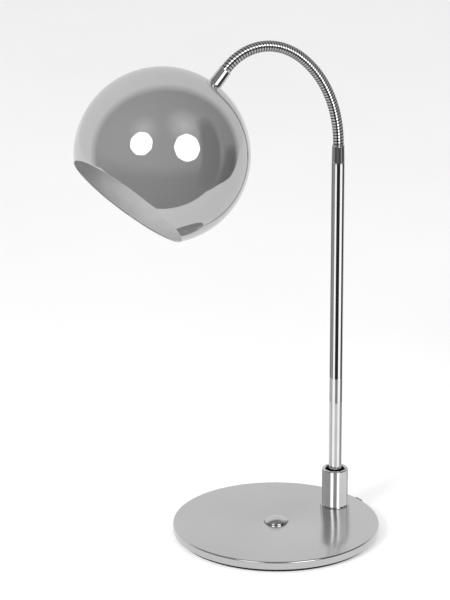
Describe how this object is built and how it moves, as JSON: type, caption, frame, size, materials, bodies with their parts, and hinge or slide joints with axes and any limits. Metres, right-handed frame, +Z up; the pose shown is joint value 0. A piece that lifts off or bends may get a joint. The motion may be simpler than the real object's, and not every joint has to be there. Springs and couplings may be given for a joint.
{
  "type": "desk lamp",
  "caption": "Desk lamp with a ball shade on a flexible curled neck, a thin stem in a thick collar and a round weighted base with a push button.",
  "frame": {"origin": "centre of the foot's underside, on the table", "axes": "+Z up; +X from the base's centre towards the stem; the neck curls over towards -X, in the plane y = 0"},
  "size_m": [0.2994, 0.19, 0.4737],
  "materials": {
    "chrome": "mirror-bright chrome plating",
    "shade_chrome": "mirror-bright chrome plating outside, matt white inside",
    "neck_chrome": "chrome-plated interlocked strip, ribbed",
    "collar_chrome": "polished turned chrome",
    "plate_steel": "satin chrome on pressed steel",
    "zinc_steel": "zinc plated",
    "spring_steel": "bare spring steel",
    "iron": "black lacquered casting",
    "rubber": "matt black rubber",
    "black_plastic": "matt moulded",
    "white_plastic": "matt moulded",
    "lead_sheath": "smooth insulation",
    "brass": "plain brass",
    "bulb_glass": "opal glass"
  },
  "bodies": {
    "base": {"foot_pad": "rubber", "base_cover": "plate_steel", "base_weight": "iron", "bottom_plate": "zinc_steel", "bottom_screws": "zinc_steel", "cord_gland": "black_plastic", "terminal_block": "white_plastic", "terminal_screws": "brass", "supply_lead": "lead_sheath", "switch_wires": "lead_sheath", "switch_body": "black_plastic", "switch_spring": "spring_steel", "collar": "collar_chrome", "collar_screws": "zinc_steel", "thrust_washer": "white_plastic", "swivel_bush": "black_plastic"},
    "button": {"button_cap": "chrome", "button_plunger": "black_plastic"},
    "stem_body": {"stem": "chrome", "retaining_ring": "zinc_steel", "stop_pin": "zinc_steel", "stem_lead": "lead_sheath", "lower_ferrule": "chrome", "neck_root": "neck_chrome"},
    "link_01": {"neck_link_01": "neck_chrome", "neck_lead_01": "lead_sheath"},
    "link_02": {"neck_link_02": "neck_chrome", "neck_lead_02": "lead_sheath"},
    "link_03": {"neck_link_03": "neck_chrome", "neck_lead_03": "lead_sheath"},
    "link_04": {"neck_link_04": "neck_chrome", "neck_lead_04": "lead_sheath"},
    "link_05": {"neck_link_05": "neck_chrome", "neck_lead_05": "lead_sheath"},
    "link_06": {"neck_link_06": "neck_chrome", "neck_lead_06": "lead_sheath"},
    "link_07": {"neck_link_07": "neck_chrome", "neck_lead_07": "lead_sheath"},
    "link_08": {"neck_link_08": "neck_chrome", "neck_lead_08": "lead_sheath"},
    "link_09": {"neck_link_09": "neck_chrome", "neck_lead_09": "lead_sheath"},
    "link_10": {"neck_link_10": "neck_chrome", "neck_lead_10": "lead_sheath"},
    "head": {"neck_tip": "neck_chrome", "upper_ferrule": "chrome", "nipple": "brass", "shade_washer": "zinc_steel", "lock_washer": "spring_steel", "head_nut": "brass", "shade": "shade_chrome", "holder_cap": "black_plastic", "holder_skirt": "black_plastic", "holder_core": "white_plastic", "holder_contacts": "brass", "head_lead": "lead_sheath", "bulb_cap": "brass", "bulb_glass": "bulb_glass"}
  },
  "joints": [
    {"name": "stem_swivel", "type": "hinge", "parent": "base", "child": "stem_body", "pos_m": [0.068, 0, 0.03], "axis": [0, 0, 1], "range_deg": [-150, 150]},
    {"name": "button_press", "type": "slide", "parent": "base", "child": "button", "axis": [0, 0, -1], "range_m": [0, 0.0015], "stiffness_N_per_m": 1200, "springref_m": -0.0006, "deforming": ["switch_spring"]},
    {"name": "neck_bend", "type": "hinge", "parent": "stem_body", "child": "link_01", "pos_m": [0.068, 0, 0.3708], "axis": [-0.0002, -1, 0.002], "range_deg": [-11.22, 3.96]},
    {"name": "neck_sway_01", "type": "hinge", "parent": "link_01", "child": "link_02", "pos_m": [0.06531, 0, 0.38819], "axis": [-0.9736, 0, -0.2284], "range_deg": [-12, 12]},
    {"name": "neck_bend_02", "type": "hinge", "parent": "link_02", "child": "link_03", "pos_m": [0.05999, 0, 0.40497], "axis": [0.0007, -1, -0.0019], "range_deg": [-11.24, 3.98]},
    {"name": "neck_bend_03", "type": "hinge", "parent": "link_03", "child": "link_04", "pos_m": [0.05216, 0, 0.42073], "axis": [-0.001, -1, 0.0017], "range_deg": [-11.24, 3.98]},
    {"name": "neck_sway", "type": "hinge", "parent": "link_04", "child": "link_05", "pos_m": [0.04201, 0, 0.43511], "axis": [-0.7705, 0, -0.6374], "range_deg": [-12, 12]},
    {"name": "neck_bend_05", "type": "hinge", "parent": "link_05", "child": "link_06", "pos_m": [0.02979, 0, 0.44778], "axis": [0.0015, -1, -0.0013], "range_deg": [-11.91, 4.22]},
    {"name": "neck_bend_06", "type": "hinge", "parent": "link_06", "child": "link_07", "pos_m": [0.01562, 0, 0.45822], "axis": [-0.0017, -1, 0.001], "range_deg": [-15.84, 5.6]},
    {"name": "neck_sway_07", "type": "hinge", "parent": "link_07", "child": "link_08", "pos_m": [-0.00034, 0, 0.46562], "axis": [-0.3057, 0, -0.9521], "range_deg": [-12, 12]},
    {"name": "neck_bend_08", "type": "hinge", "parent": "link_08", "child": "link_09", "pos_m": [-0.01764, 0, 0.4689], "axis": [0.002, -1, -0.0001], "range_deg": [-20.19, 7.14]},
    {"name": "neck_bend_09", "type": "hinge", "parent": "link_09", "child": "link_10", "pos_m": [-0.03514, 0, 0.46708], "axis": [-0.0019, -1, -0.0005], "range_deg": [-15.87, 5.61]},
    {"name": "neck_bend_10", "type": "hinge", "parent": "link_10", "child": "head", "pos_m": [-0.05115, 0, 0.45976], "axis": [0.0017, -1, 0.0011], "range_deg": [-16.53, 5.85]}
  ],
  "couplings": [
    {"joint": "neck_sway_01", "follows": "neck_sway", "ratio": 1},
    {"joint": "neck_bend_02", "follows": "neck_bend", "ratio": 1},
    {"joint": "neck_bend_03", "follows": "neck_bend", "ratio": 1},
    {"joint": "neck_bend_05", "follows": "neck_bend", "ratio": 1.0596},
    {"joint": "neck_bend_06", "follows": "neck_bend", "ratio": 1.4101},
    {"joint": "neck_sway_07", "follows": "neck_sway", "ratio": 1},
    {"joint": "neck_bend_08", "follows": "neck_bend", "ratio": 1.7977},
    {"joint": "neck_bend_09", "follows": "neck_bend", "ratio": 1.4122},
    {"joint": "neck_bend_10", "follows": "neck_bend", "ratio": 1.4719}
  ]
}
